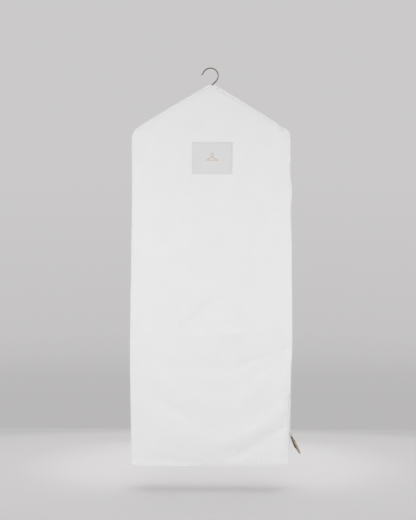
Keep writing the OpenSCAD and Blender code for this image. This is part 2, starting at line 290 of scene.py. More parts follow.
def panel_grid(u, t, side):
    """Nominal points of a panel at u, and at t from 0 at its bottom to 1 at its top."""
    w = bottom_at(u) + (top_at(u) - bottom_at(u)) * t[:, None]
    return join(u, side * (HALF_D + panel_relief(u, w, side)), w)


# ---- meshes
def add_object(name, data):
    """An object in the scene."""
    obj = bpy.data.objects.new(name, data)
    bpy.context.scene.collection.objects.link(obj)
    return obj


def point_at(obj, at, to):
    """Puts a camera or light at one point, facing another."""
    obj.location = at
    obj.rotation_euler = (Vector(to) - Vector(at)).to_track_quat("-Z", "Y").to_euler()


def new_object(name, points, faces, uv=None):
    """A smooth mesh object. uv gives each point its place on the cut cloth, in metres."""
    mesh = bpy.data.meshes.new(name)
    mesh.from_pydata(np.asarray(points, float).reshape(-1, 3).tolist(), [], faces)
    mesh.polygons.foreach_set("use_smooth", [True] * len(mesh.polygons))
    if uv is not None:
        corners = np.zeros(len(mesh.loops), np.int32)
        mesh.loops.foreach_get("vertex_index", corners)
        layer = mesh.uv_layers.new(name="cut")
        layer.data.foreach_set("uv", np.asarray(uv, np.float32).reshape(-1, 2)[corners].ravel())
    mesh.validate()
    return add_object(name, mesh)


def grid_faces(rows, cols, around=False, start=0, flip=False):
    """Quads of a grid of points, the first of which is number start. around closes its rows."""
    i, j = np.arange(rows - 1)[:, None], np.arange(cols if around else cols - 1)
    k = (j + 1) % cols
    quads = join(i * cols + j, i * cols + k, (i + 1) * cols + k, (i + 1) * cols + j)
    quads = quads.reshape(-1, 4) + start
    return (quads[:, ::-1] if flip else quads).tolist()


def sheet_object(name, nominal, uv, outward, moved=0):
    """A sheet whose grid of nominal points is hung and moved, with its outer face along outward."""
    rows, cols = nominal.shape[:2]
    a = nominal[rows // 2, cols // 2]
    turned = np.cross(nominal[rows // 2, cols // 2 + 1] - a, nominal[rows // 2 + 1, cols // 2] - a)
    faces = grid_faces(rows, cols, flip=turned @ np.array(outward) < 0)
    obj = new_object(name, hang(nominal) + moved, faces, uv)
    thicken(obj, CLOTH)
    return obj


def thicken(obj, thick):
    """Gives a sheet its thickness, inwards from its outer face."""
    wall = obj.modifiers.new("thickness", "SOLIDIFY")
    wall.thickness = thick
    wall.offset = -1
    wall.use_even_offset = True


def bevel(obj, width, segments):
    """Softens a piece's edges."""
    soften = obj.modifiers.new("soft edges", "BEVEL")
    soften.width = width
    soften.segments = segments
    soften.limit_method = "ANGLE"


def both_ways(half):
    """A closed ring of points from its first half: the rest is the same, turned half round."""
    return np.concatenate([half, -np.array(half)])


def gone_along(path):
    """How far along a path each of its points is."""
    return np.concatenate([[0], np.cumsum(np.linalg.norm(np.diff(path, axis=0), axis=1))])


def points_along(path, at):
    """Points at the given distances along a path."""
    gone = gone_along(path)
    return join(*[np.interp(at, gone, column) for column in path.T])


def tube(path, radius, sides, closed=False, flat=1.0, up=(0, 1, 0), start=0):
    """Points, faces and uv of a tube along a path. flat squashes it along up."""
    path = np.asarray(path, float)
    ahead = np.roll(path, -1, 0) - np.roll(path, 1, 0)
    if not closed:
        ahead[0], ahead[-1] = path[1] - path[0], path[-1] - path[-2]
    ahead /= np.linalg.norm(ahead, axis=1)[:, None]
    side = np.cross(ahead, up)
    side /= np.linalg.norm(side, axis=1)[:, None]
    lift = np.cross(side, ahead)
    angle = np.linspace(0, 2 * math.pi, sides, endpoint=False)
    reach = np.broadcast_to(radius, len(path))[:, None, None]
    ring = side[:, None] * np.cos(angle)[None, :, None]
    ring = ring + lift[:, None] * np.sin(angle)[None, :, None] * flat
    points = path[:, None] + reach * ring
    uv = join(gone_along(path)[:, None], angle * np.max(radius))
    faces = grid_faces(len(path), sides, around=True, start=start)
    last = start + (len(path) - 1) * sides
    if closed:
        faces += [[last + j, last + (j + 1) % sides, start + (j + 1) % sides, start + j]
                  for j in range(sides)]
    else:
        faces += [list(range(start, start + sides))[::-1], list(range(last, last + sides))]
    return points.reshape(-1, 3), faces, uv.reshape(-1, 2)


def tubes_object(name, tubes):
    """One object of several tubes, each given as arguments for tube()."""
    points, faces, uv, count = [], [], [], 0
    for spec in tubes:
        new_points, new_faces, new_uv = tube(start=count, **spec)
        points.append(new_points)
        faces += new_faces
        uv.append(new_uv)
        count += len(new_points)
    return new_object(name, np.concatenate(points), faces, np.concatenate(uv))


def stitches(name, path, normal):
    """A row of thread stitches along a path of points, on a surface with this normal."""
    shape = np.array([-.5, -.38, 0, .38, .5]) * STITCH_L
    dip = np.array([-.6, .45, .8, .45, -.6]) * THREAD_R
    made = []
    for middle in np.arange(STITCH_PITCH / 2, gone_along(path)[-1], STITCH_PITCH):
        spine = points_along(path, middle + shape) + dip[:, None] * normal
        made.append(dict(path=spine, sides=6, up=normal,
                         radius=THREAD_R * np.array([.5, 1, 1, 1, .5])))
    return tubes_object(name, made)


# ---- materials
def put(tree, kind, inputs=(), **settings):
    """Adds a shader node. inputs maps a socket's name or number to a value or to another socket."""
    made = tree.nodes.new("ShaderNode" + kind)
    for key, value in settings.items():
        setattr(made, key, value)
    for key, value in dict(inputs).items():
        if isinstance(value, bpy.types.NodeSocket):
            tree.links.new(value, made.inputs[key])
        else:
            made.inputs[key].default_value = value
    return made


def calc(tree, operation, a, b=0.0):
    """One step of arithmetic in a material."""
    return put(tree, "Math", {0: a, 1: b}, operation=operation).outputs[0]


def ripple(tree, along, rate):
    """A sine."""
    return calc(tree, "SINE", calc(tree, "MULTIPLY", along, rate))


def total(tree, *parts):
    """The sum of sockets, each given with its weight."""
    weighed = [calc(tree, "MULTIPLY", *part) if part[1] != 1 else part[0] for part in parts]
    while len(weighed) > 1:
        weighed[:2] = [calc(tree, "ADD", *weighed[:2])]
    return weighed[0]


def spread(tree, amount, low, high):
    """Turns 0 to 1 into low to high."""
    return put(tree, "MapRange", {0: amount, 3: low, 4: high}).outputs[0]


def parts_of(tree, vector):
    """The three numbers of a vector."""
    return put(tree, "SeparateXYZ", {0: vector}).outputs


def places(tree, scale=(1, 1, 1), turn=0.0, uv=True):
    """Texture coordinates: the cut cloth's own, or the object's."""
    source = put(tree, "TexCoord").outputs["UV" if uv else "Object"]
    inputs = {"Vector": source, "Scale": scale, "Rotation": (0, 0, turn)}
    return put(tree, "Mapping", inputs).outputs[0]


def blotches(tree, at, scale, detail=3.0, rough=.5):
    """Smooth noise from 0 to 1."""
    inputs = {"Vector": at, "Scale": scale, "Detail": detail, "Roughness": rough}
    return put(tree, "TexNoise", inputs).outputs[0]


def tones(tree, amount, *stops):
    """A colour ramp. Each stop is an amount and a colour of three numbers."""
    ramp = put(tree, "ValToRGB", {0: amount}).color_ramp
    while len(ramp.elements) < len(stops):
        ramp.elements.new(.5)
    for element, (stop, colour) in zip(ramp.elements, stops):
        element.position = stop
        element.color = (*colour, 1)
    return tree.nodes[-1].outputs[0]


def bump(tree, height, depth, strength=1.0, below=None):
    """A normal bent by a height, on top of the one below."""
    inputs = {"Height": height, "Distance": depth, "Strength": strength}
    if below is not None:
        inputs["Normal"] = below
    return put(tree, "Bump", inputs).outputs[0]


def surface(name, **uniform):
    """A new material and its tree, with the uniform values on the shader's own sockets."""
    made = bpy.data.materials.new(name)
    made.use_nodes = True
    shader = made.node_tree.nodes["Principled BSDF"]
    for key, value in uniform.items():
        shader.inputs[key.replace("_", " ")].default_value = value
    return made, made.node_tree


def wire(tree, **sockets):
    """Links sockets to the shader's inputs."""
    shader = tree.nodes["Principled BSDF"]
    for key, source in sockets.items():
        tree.links.new(source, shader.inputs[key.replace("_", " ")])


def weave(tree, at, pitch):
    """Height of a plain weave: every other crossing has the warp on top."""
    warp, weft = [ripple(tree, part, math.pi / pitch) for part in parts_of(tree, at)[:2]]
    threads = calc(tree, "MAXIMUM", calc(tree, "ABSOLUTE", warp), calc(tree, "ABSOLUTE", weft))
    return total(tree, (calc(tree, "MULTIPLY", warp, weft), .5), (threads, 1))


def woven(name, dark, light, pitch, turn=0.0, depth=.00010, crease=.35, sheen=.25,
          rough=(.82, .93), slub=1.0):
    """Woven cloth: plain weave, thick and thin threads, faint blotches and creasing."""
    made, tree = surface(name, Sheen_Weight=sheen, Sheen_Roughness=.4,
                                 Specular_IOR_Level=.25)
    flat = places(tree, turn=turn)
    along = blotches(tree, places(tree, (9, 900, 1), turn), 1.0, 2.0)
    across = blotches(tree, places(tree, (900, 9, 1), turn), 1.0, 2.0)
    threads = calc(tree, "ADD", along, across)
    cloud = blotches(tree, flat, 14.0, 4.0)
    tone = total(tree, (threads, .35), (cloud, .3))
    height = total(tree, (threads, slub), (weave(tree, flat, pitch), 1))
    creased = bump(tree, blotches(tree, flat, 60.0, 5.0), .0009, crease)
    wire(tree, Base_Color=tones(tree, tone, (.3, dark), (.7, light)),
         Roughness=spread(tree, cloud, *rough), Normal=bump(tree, height, depth, .8, creased))
    return made


def twisted(name, dark, light, lays, slant=1.0, metal=0.0, rough=.6):
    """Thread: strands that wind round it, seen as slanting ribs."""
    made, tree = surface(name, Metallic=metal, Sheen_Weight=.3, Specular_IOR_Level=.4)
    parts = parts_of(tree, places(tree))
    ribs = ripple(tree, total(tree, (parts[0], 1), (parts[1], slant)), lays)
    fuzz = blotches(tree, places(tree, uv=False), 900.0, 3.0)
    tone = total(tree, (ribs, .2), (fuzz, 1))
    wire(tree, Base_Color=tones(tree, tone, (.25, dark), (.75, light)),
         Roughness=spread(tree, fuzz, rough - .1, rough + .2),
         Normal=bump(tree, total(tree, (ribs, 1), (fuzz, .6)), .00008))
    return made


def metal_material(name, dark, light, rough, scratch, wear):
    """Polished or brushed metal with fine scratches and a tarnish that gathers in patches."""
    made, tree = surface(name, Metallic=1.0, Coat_Weight=.15, Coat_Roughness=.12)
    at = places(tree, uv=False)
    tarnish = blotches(tree, at, wear, 6.0, .6)
    fine = blotches(tree, places(tree, (1, 1, .03), uv=False), scratch, 4.0, .7)
    wire(tree, Base_Color=tones(tree, tarnish, (.35, dark), (.65, light)),
         Roughness=spread(tree, total(tree, (fine, .7), (tarnish, .3)), *rough),
         Normal=bump(tree, fine, .00003, .5))
    return made


def leather_material(name):
    """Vegetable-tanned leather. The mesh's edge attribute darkens its burnished edges, and paints
    shade on the inner layer of its fold.
    """
    made, tree = surface(name, Specular_IOR_Level=.45, Coat_Weight=.08, Coat_Roughness=.35)
    at = places(tree, uv=False)
    grain = put(tree, "TexVoronoi", {"Vector": at, "Scale": 1500.0},
                feature="DISTANCE_TO_EDGE").outputs[0]
    pores = blotches(tree, at, 2600.0, 4.0)
    cloud = blotches(tree, at, 160.0, 5.0, .6)
    tan = tones(tree, cloud, (.3, (.30, .19, .10)), (.7, (.47, .325, .20)))
    edge = put(tree, "Attribute", attribute_name="edge").outputs["Fac"]
    # Dark brown where the edge attribute is high: real burnished edges, and painted shade on the
    # inner layer
    worn = put(tree, "Mix", {"Factor": edge, 6: tan, 7: (.045, .028, .018, 1)},
               data_type="RGBA").outputs[2]
    pebbles = put(tree, "MapRange", {0: grain, 2: .25}).outputs[0]
    height = total(tree, (pebbles, 1), (pores, .5))
    wire(tree, Base_Color=worn, Normal=bump(tree, height, .00012, .7),
         Roughness=spread(tree, cloud, .62, .42))
    return made


def wood_material(name):
    """Beech: straight grain along the arm with short dark flecks, under satin lacquer."""
    made, tree = surface(name, Coat_Weight=.35, Coat_Roughness=.25)
    rings = put(tree, "TexWave", {"Vector": places(tree, (4, 60, 60), uv=False), "Scale": 1.4,
                                  "Distortion": 5.0, "Detail": 3.0}).outputs["Fac"]
    flecks = blotches(tree, places(tree, (60, 900, 900), uv=False), 1.0, 2.0)
    tone = total(tree, (rings, .6), (flecks, .5))
    wire(tree, Base_Color=tones(tree, tone, (.25, (.42, .25, .13)), (.75, (.66, .46, .28))),
         Roughness=spread(tree, flecks, .35, .6), Normal=bump(tree, tone, .00008))
    return made


def plastic_material(name):
    """Moulded zip teeth: slightly glossy, with a frosted flow pattern."""
    made, tree = surface(name, Specular_IOR_Level=.5, Subsurface_Weight=.08,
                                 Subsurface_Scale=.001)
    flow = blotches(tree, places(tree, uv=False), 700.0, 4.0)
    wire(tree, Base_Color=tones(tree, flow, (.3, (.74, .74, .73)), (.7, (.83, .83, .82))),
         Roughness=spread(tree, flow, .28, .46), Normal=bump(tree, flow, .00003))
    return made


def ribbed(name, dark, light, pitch):
    """Woven tape: ribs along it and finer ones across."""
    made, tree = surface(name, Sheen_Weight=.2, Specular_IOR_Level=.25)
    at = places(tree)
    parts = parts_of(tree, at)
    ribs = ripple(tree, parts[1], 2 * math.pi / pitch)
    picks = ripple(tree, parts[0], 5 * math.pi / pitch)
    fuzz = blotches(tree, at, 220.0, 4.0)
    height = total(tree, (ribs, 1), (picks, .45))
    tone = total(tree, (ribs, .15), (fuzz, 1))
    wire(tree, Base_Color=tones(tree, tone, (.3, dark), (.7, light)),
         Roughness=spread(tree, fuzz, .75, .9), Normal=bump(tree, height, .00012))
    return made


WHITES = (.802, .806, .808), (.840, .844, .846)
COTTON = woven("cotton", *WHITES, .00045)
TAUT_COTTON = woven("taut_cotton", *WHITES, .00045, depth=.00005, crease=.08)
LINING = woven("patch_cotton", (.785, .787, .787), (.840, .842, .842), .00055, depth=.00006,
               crease=.1)
PIPING = woven("piping", (.805, .809, .811), (.850, .854, .856), .00045, turn=math.pi / 4)
SATIN = woven("label_satin", (.69, .69, .69), (.745, .745, .745), .0003, depth=.00006, sheen=.1,
              rough=(.5, .62), slub=.4)
TAPE = ribbed("zip_tape", (.74, .74, .74), (.82, .82, .82), .0011)
GOLD = twisted("gold_thread", (.50, .37, .22), (.74, .60, .41), 9000.0, slant=.4, metal=.25,
               rough=.4)
WHITE_THREAD = twisted("white_thread", (.74, .74, .73), (.87, .87, .86), 7000.0)
DARK_THREAD = twisted("waxed_thread", (.06, .038, .024), (.15, .10, .065), 5000.0, rough=.45)
BRONZE = metal_material("antique_bronze", (.125, .095, .068), (.30, .245, .19), (.10, .26),
                        900.0, 70.0)
NICKEL = metal_material("satin_nickel", (.30, .30, .295), (.50, .50, .49), (.22, .42),
                        1600.0, 240.0)
LEATHER = leather_material("tan_leather")
BEECH = wood_material("beech")
PLASTIC = plastic_material("tooth_plastic")


def dress(obj, material):
    """Gives a mesh one material in place of any it has."""
    obj.data.materials.clear()
    obj.data.materials.append(material)
    return obj


def place(obj, material, slot, *nodes, body="bag"):
    """Gives a finished piece its material and its body, and hides the CAD nodes it stands for. slot
    is not used.
    """
    dress(obj, material)
    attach(obj, body)
    if nodes:
        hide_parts(*nodes)


# ---- camera and stage
CAMERA_TURN, CAMERA_RISE = math.radians(1.5), math.radians(7.5)
CAMERA_AWAY = 9.535
AIM = Vector((-.0090, 0, -.7007))


def make_camera():
    """A long lens from a little above, as in a product picture."""
    data = bpy.data.cameras.new("camera")
    data.lens = 180
    data.clip_end = 200
    camera = add_object("camera", data)
    back = Vector((math.sin(CAMERA_TURN) * math.cos(CAMERA_RISE),
                   -math.cos(CAMERA_TURN) * math.cos(CAMERA_RISE), math.sin(CAMERA_RISE)))
    point_at(camera, AIM + back * CAMERA_AWAY, AIM)
    bpy.context.scene.camera = camera


def make_world():
    """A pale studio all round: a little darker towards the floor."""
    world = bpy.data.worlds.new("studio")
    world.use_nodes = True
    tree = world.node_tree
    rise = parts_of(tree, put(tree, "TexCoord").outputs["Generated"])[2]
    stops = [(.0, .480), (.17, .481), (.25, .489), (.35, .532), (.43, .552), (.8, .577),
             (1.0, .590)]
    tone = tones(tree, put(tree, "MapRange", {0: rise, 1: -.20, 2: -.10}).outputs[0],
                 *[(stop, (1.012 * grey, .992 * grey, .997 * grey)) for stop, grey in stops])
    tree.links.new(tone, tree.nodes["Background"].inputs["Color"])
    bpy.context.scene.world = world


FLOOR_DROP, FLOOR_END = .097, 1.14
# Painted shade on the floor: where it begins towards the far end, and how fast it deepens
PAINTED_SHADE_FROM, PAINTED_SHADE_RATE = FLOOR_END - .3, 3.0
# Painted light on the floor round the bag: its middle, its half sizes and its reach
PAINTED_POOL_AT, PAINTED_POOL_HALF, PAINTED_POOL_REACH = .40, (.78, .62), 2.2


def make_floor():
    """A pale floor that ends behind the bag, with painted light round the bag and painted shade
    towards its far end.
    """
    xs, ys = np.linspace(-6, 6, 49), np.linspace(-10, FLOOR_END, 49)
    flat = join(xs, ys[:, None], BOTTOM_Z - FLOOR_DROP)
    floor = new_object("floor", flat, grid_faces(*flat.shape[:2]))
    made, tree = surface("pale_floor_painted_light", Specular_IOR_Level=.15)
    at = put(tree, "TexCoord").outputs["Object"]
    centred = put(tree, "Mapping", {"Vector": at, "Location": (0, -PAINTED_POOL_AT / PAINTED_POOL_HALF[1], 0),
                                    "Scale": (1 / PAINTED_POOL_HALF[0], 1 / PAINTED_POOL_HALF[1], 0)}).outputs[0]
    # Distance from the middle of the painted light
    painted_pool = put(tree, "VectorMath", {0: centred}, operation="LENGTH").outputs["Value"]
    # Painted shade that deepens towards the floor's far end
    past = calc(tree, "SUBTRACT", parts_of(tree, at)[1], PAINTED_SHADE_FROM)
    far = calc(tree, "MAXIMUM", calc(tree, "MULTIPLY", past, PAINTED_SHADE_RATE), 0)
    speck = blotches(tree, at, 30.0, 5.0)
    # Floor tones by that distance: painted light near the bag, painted shade far off
    stops = [(.0, .82), (.55, .82), (.7, .80), (.85, .755), (1.0, .712), (1.2, .694), (1.7, .680),
             (2.1, .60)]
    away = calc(tree, "DIVIDE", total(tree, (painted_pool, 1), (far, 1), (speck, .03)), PAINTED_POOL_REACH)
    tone = tones(tree, away, *[(stop / PAINTED_POOL_REACH, (1.004 * grey, .998 * grey, grey))
                               for stop, grey in stops])
    wire(tree, Base_Color=tone, Roughness=spread(tree, speck, .7, .85))
    dress(floor, made)


make_camera()
make_world()
make_floor()
bpy.context.scene.view_settings.view_transform = "Standard"

# ---- how the panels sag
# The grid's cell, the steps, and how hard the panels are pushed outwards
SAG_CELL, SAG_FRAMES, SAG_PUSH = .014, 22, .35
SAG_CLOTH = dict(quality=6, mass=.12, tension_stiffness=60, compression_stiffness=60,
                 shear_stiffness=25, bending_stiffness=.8, air_damping=2.0, shrink_min=-.0003)
# How far a point may move, and the share of its move that is used
SAG_LIMIT, SAG_SHARE = .007, .6


def sag(side):
    """Lets one panel sag on its seams with the cloth solver. Returns how far each point moves."""
    u = np.linspace(-HALF_W, HALF_W, int(2 * HALF_W / SAG_CELL) + 1)
    t = np.linspace(0, 1, int((SIDE_H + PITCH_H / 2) / SAG_CELL) + 1)
    start = hang(panel_grid(u, t, side))
    obj = new_object("sagging", start, grid_faces(*start.shape[:2]))
    seam = np.ones(start.shape[:2], bool)
    seam[1:-1, 1:-1] = False
    obj.vertex_groups.new(name="seam").add(np.flatnonzero(seam).tolist(), 1.0, "REPLACE")
    solver = obj.modifiers.new("cloth", "CLOTH")
    solver.collision_settings.use_collision = False
    solver.settings.vertex_group_mass = "seam"
    for key, value in SAG_CLOTH.items():
        setattr(solver.settings, key, value)
    scene = bpy.context.scene
    down = scene.gravity.copy()
    scene.gravity = (0, side * SAG_PUSH, down.z)
    for moment in range(1, SAG_FRAMES + 1):
        scene.frame_set(moment)
    sagged = obj.evaluated_get(bpy.context.evaluated_depsgraph_get())
    sunk = np.zeros(start.size, np.float32)
    sagged.data.vertices.foreach_get("co", sunk)
    scene.gravity = down
    scene.frame_set(1)
    bpy.data.objects.remove(obj)
    moved = sunk.reshape(start.shape) - start
    return SAG_SHARE * SAG_LIMIT * np.tanh(moved / SAG_LIMIT)


SAGGED = {side: sag(side) for side in (-1, 1)}


def curve_weights(part):
    """Weights of the four points round a place, for a smooth curve through all points."""
    return [((2 - part) * part - 1) * part / 2, ((3 * part - 5) * part**2 + 2) / 2,
            ((4 - 3 * part) * part + 1) * part / 2, (part - 1) * part**2 / 2]


def sag_at(u, w, side):
    """How far the sagging moves the panel's cloth at u and w."""
    moves = SAGGED[side]
    rows, cols = moves.shape[:2]
    col = (u + HALF_W) / (2 * HALF_W) * (cols - 1)
    row = (w - bottom_at(u)) / (top_at(u) - bottom_at(u)) * (rows - 1)
    move = 0
    low_row, low_col = np.floor(row).astype(int), np.floor(col).astype(int)
    for i, row_weight in enumerate(curve_weights(row - low_row)):
        for j, col_weight in enumerate(curve_weights(col - low_col)):
            near_row = np.clip(low_row + i - 1, 0, rows - 1)
            near_col = np.clip(low_col + j - 1, 0, cols - 1)
            move = move + (row_weight * col_weight)[..., None] * moves[near_row, near_col]
    return move


# ---- panels
COLUMN, ROW = .0042, .0046


def panel_columns():
    """Places across the bag, closer together where its corners are round."""
    inner = np.arange(0, HALF_W - SHOULDER_R - COLUMN / 2, COLUMN)
    outer = HALF_W - SHOULDER_R + SHOULDER_R * np.sin(np.linspace(0, math.pi / 2, 13))
    right = np.concatenate([inner, outer])
    return np.concatenate([-right[:0:-1], right])


for side_name, side in (("front", -1), ("back", 1)):
    u = panel_columns()
    t = np.linspace(0, 1, int(SIDE_H / ROW))
    nominal = panel_grid(u, t, side)
    cloth = sheet_object(side_name + "_cloth", nominal, nominal[..., ::2], (0, side, 0),
                         moved=sag_at(nominal[..., 0], nominal[..., 2], side))
    place(cloth, COTTON, "cotton", side_name + "_panel")


# ---- gussets
GUSSET_CELL = .004, .003
GUSSET_PUCKER, GUSSET_WAVE = .0003, .0007


def gusset(name, node, first, last, near=-HALF_D, far=HALF_D, relief=1.0, flat_half=0.0,
           material=COTTON):
    """A band of cloth along the outline, from near to far in y, and flat within flat_half of 0."""
    s = np.linspace(first, last, max(int(abs(last - first) / GUSSET_CELL[0]), 6))
    y = np.linspace(near, far, max(int((far - near) / GUSSET_CELL[1]), 5))
    points, normals = outline(s)
    away = HALF_D - np.abs(y)
    stand = pucker(s[:, None], away, GUSSET_PUCKER, 61)
    stand += GUSSET_WAVE * noise(s[:, None], y, 0, .07, 63) * smooth(away / .012)
    stand *= relief * smooth(away / SEAM_FLAT)
    if flat_half:
        stand *= smooth((np.abs(y) - flat_half) / .012)
    flat = points[:, None] + normals[:, None] * stand[..., None]
    nominal = join(flat[..., 0], y, flat[..., 1])
    middle = normals[len(s) // 2]
    obj = sheet_object(name, nominal, join(s[:, None], y), (middle[0], 0, middle[1]))
    place(obj, material, "cotton", node)


PATCH_HALF = .026
PATCH_S = (HALF_LOOP - PEAK_R * SLOPE
           - (PATCH_HALF - PEAK_R * math.sin(SLOPE)) / math.cos(SLOPE))
gusset("gusset_right_slope", "gusset_top_right", SIDE_END, PATCH_S, relief=.3,
       material=TAUT_COTTON)
gusset("gusset_left_slope", "gusset_top_left", LOOP - PATCH_S, LOOP - SIDE_END, relief=.3,
       material=TAUT_COTTON)
gusset("gusset_left_side", "gusset_left", LOOP - SIDE_END, LOOP - SIDE_START)
gusset("gusset_floor", "gusset_bottom", -SIDE_START, SIDE_START)

# Right side: two long strips with the zip between them, and a short piece above and below it
STRIP_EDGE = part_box("side_strip_rear")[0].y
ZIP_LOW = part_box("side_strip_lower")[1].z - BOTTOM_Z
ZIP_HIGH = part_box("side_strip_upper")[0].z - BOTTOM_Z
# The upper piece reaches down to the zip's top stop
STOP_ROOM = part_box("side_strip_upper")[0].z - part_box("zip_top_stop")[1].z - .0003
UP = SIDE_START - BOTTOM_R
gusset("strip_front", "side_strip_front", SIDE_START, SIDE_END, -HALF_D, -STRIP_EDGE,
       flat_half=ZIP_CALM)
gusset("strip_rear", "side_strip_rear", SIDE_START, SIDE_END, STRIP_EDGE, HALF_D,
       flat_half=ZIP_CALM)
gusset("strip_upper", "side_strip_upper", UP + ZIP_HIGH - STOP_ROOM, SIDE_END, -STRIP_EDGE,
       STRIP_EDGE, relief=0)
gusset("strip_lower", "side_strip_lower", SIDE_START, UP + ZIP_LOW, -STRIP_EDGE, STRIP_EDGE,
       relief=0)


# ---- peak patch and its hole
HOLE_R = .0095
PATCH_LAP = .003
PATCH_LIFT, PATCH_WAVE = .0006, .0004


def on_peak(u, y, lift):
    """Nominal points over the peak, lift above it."""
    lean = np.clip(u / (PEAK_R * math.sin(SLOPE)), -1, 1) * SLOPE
    return join(u + lift * np.sin(lean), y, top_at(u) + lift * np.cos(lean))


def peak_patch():
    """A square patch over the peak, with a round hole in its middle."""
    half_u, half_y = PATCH_HALF + PATCH_LAP, HALF_D
    corner_angle = math.atan2(half_y, half_u)
    quarter = np.concatenate([np.linspace(0, corner_angle, 9)[:-1],
                              np.linspace(corner_angle, math.pi / 2, 15)[:-1]])
    half_turn = np.concatenate([quarter, math.pi - np.append(quarter[1:], math.pi / 2)[::-1]])
    angle = np.concatenate([half_turn, half_turn + math.pi])
    reach = np.minimum(half_u / np.maximum(np.abs(np.cos(angle)), 1e-9),
                       half_y / np.maximum(np.abs(np.sin(angle)), 1e-9))
    t = np.linspace(0, 1, 22)[:, None]
    away = HOLE_R + (reach - HOLE_R) * t
    u, y = away * np.cos(angle), away * np.sin(angle)
    wave = PATCH_WAVE * noise(u, y, 0, .018, 81) * smooth(t / .2) * smooth((1 - t) / .1)
    obj = new_object("peak_reinforcement", hang(on_peak(u, y, PATCH_LIFT + wave)),
                     grid_faces(*u.shape, around=True, flip=True), join(u, y))
    thicken(obj, CLOTH)
    place(obj, LINING, "cotton", "peak_patch")


def hole_binding():
    """A rolled strip of bias-cut cloth round the hook's hole."""
    angle = np.linspace(0, 2 * math.pi, 72, endpoint=False)
    radius = HOLE_R + .0012
    path = hang(on_peak(radius * np.cos(angle), radius * np.sin(angle), .0007))
    obj = tubes_object("hole_binding", [dict(path=path, radius=.0015, sides=12, closed=True,
                                             up=(0, 0, 1))])
    place(obj, PIPING, "piping", "hook_hole_binding")


peak_patch()
hole_binding()


# ---- piping and stitching
def piping(name, node, side):
    """A piped cord all round one panel's seam."""
    s = np.linspace(0, LOOP, 760, endpoint=False)
    points, normals = outline(s)
    out = points + .0006 * normals
    nominal = join(out[:, 0], side * (HALF_D - .0002), out[:, 1])
    obj = tubes_object(name, [dict(path=hang(nominal), radius=PIPING_R, sides=12, closed=True)])
    place(obj, PIPING, "piping", node)


piping("piping_front", "front_piping", -1)
piping("piping_back", "back_piping", 1)


for row_name, side in (("front", -1), ("rear", 1)):
    w = np.arange(ZIP_LOW - .012, ZIP_HIGH + .012, .01)
    row = hang(join(HALF_W + .0001, side * (STRIP_EDGE + .0028), w))
    place(stitches("zip_stitches_" + row_name, row, (1, 0, 0)), WHITE_THREAD, "cotton")

for row_name, side in (("left", -1), ("right", 1)):
    y = np.linspace(-HALF_D + .003, HALF_D - .003, 40)
    row = hang(on_peak(side * (PATCH_HALF + PATCH_LAP - .0022), y, PATCH_LIFT + .0001))
    normal = side * math.sin(SLOPE), 0, math.cos(SLOPE)
    place(stitches("patch_stitches_" + row_name, row, normal), WHITE_THREAD, "cotton")

# ---- label
LABEL_LOW, LABEL_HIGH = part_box("label_patch")
LABEL_U = (LABEL_LOW.x + LABEL_HIGH.x) / 2 - MID_X
LABEL_W = (LABEL_LOW.z + LABEL_HIGH.z) / 2 - BOTTOM_Z
LABEL_HALF = np.array([LABEL_HIGH.x - LABEL_LOW.x, LABEL_HIGH.z - LABEL_LOW.z]) / 2
LABEL_T = LABEL_HIGH.y - LABEL_LOW.y
# The label's corners, how far its stitches lie from its edge and sink it, and its waves
LABEL_ROUND, LABEL_SEAM, LABEL_DIP, LABEL_WAVE = .0022, .004, .00045, .0002


def on_label(x, z, lift):
    """Hung points of the label, from its middle, lift above the front panel."""
    u, w = LABEL_U + x, LABEL_W + z
    return hang(join(u, -HALF_D - panel_relief(u, w, -1) - lift, w)) + sag_at(u, w, -1)


def label():
    """A patch with round corners and a sunken row of stitches."""
    a = np.linspace(-1, 1, 49)
    flat = join(a, a[:, None]) * LABEL_HALF
    past = np.maximum(np.abs(flat) - LABEL_HALF + LABEL_ROUND, 0)
    over = np.maximum(np.hypot(past[..., 0], past[..., 1]) / LABEL_ROUND, 1)[..., None]
    flat = np.sign(flat) * (np.abs(flat) - past * (1 - 1 / over))
    edge = np.min(LABEL_HALF - np.abs(flat), -1)
    x, z = flat[..., 0], flat[..., 1]
    lift = LABEL_T - LABEL_DIP * np.exp(-((edge - LABEL_SEAM) / .0016) ** 2)
    lift += LABEL_WAVE * noise(x, z, 0, .03, 91)
    obj = new_object("sewn_label", on_label(x, z, lift), grid_faces(*x.shape), flat)
    thicken(obj, LABEL_T * .9)
    place(obj, SATIN, "label", "label_patch")
    corners = np.array([(-1, -1), (1, -1), (1, 1), (-1, 1), (-1, -1)]) * (LABEL_HALF - LABEL_SEAM)
    row = points_along(corners, np.arange(0, gone_along(corners)[-1], .004))
    path = on_label(*row.T, LABEL_T - .00035)
    thread = stitches("label_stitches", path, (0, -1, 0))
    place(thread, WHITE_THREAD, "label")


def motif():
    """Embroidered coat-hanger pictogram: a hook above a flat triangle."""
    foot, top, neck, curl = (.021, -.008), (0, .005), (0, .010), .004
    bend = np.linspace(-math.pi / 2, math.pi, 26)
    triangle = [(-foot[0], foot[1]), foot, top, (-foot[0], foot[1])]
    hook = [top, neck] + [(curl * math.cos(a), .014 + curl * math.sin(a)) for a in bend]
    rows = []
    for outline_points in (triangle, hook):
        corners = np.array(outline_points)
        length = gone_along(corners)[-1]
        row = points_along(corners, np.linspace(0, length, int(length / .0008)))
        rows.append(dict(path=on_label(*row.T, LABEL_T + .0001), radius=.0010, sides=10,
                         flat=.45, up=(0, 1.0, 0)))
    place(tubes_object("label_embroidery", rows), GOLD, "label_print", "label_motif")


label()
motif()

# ---- zip
TEETH_LOW, TEETH_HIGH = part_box("zip_teeth_rear")
TAPE_LOW, TAPE_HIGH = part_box("zip_tape_rear")
TOOTH_PITCH = .0025


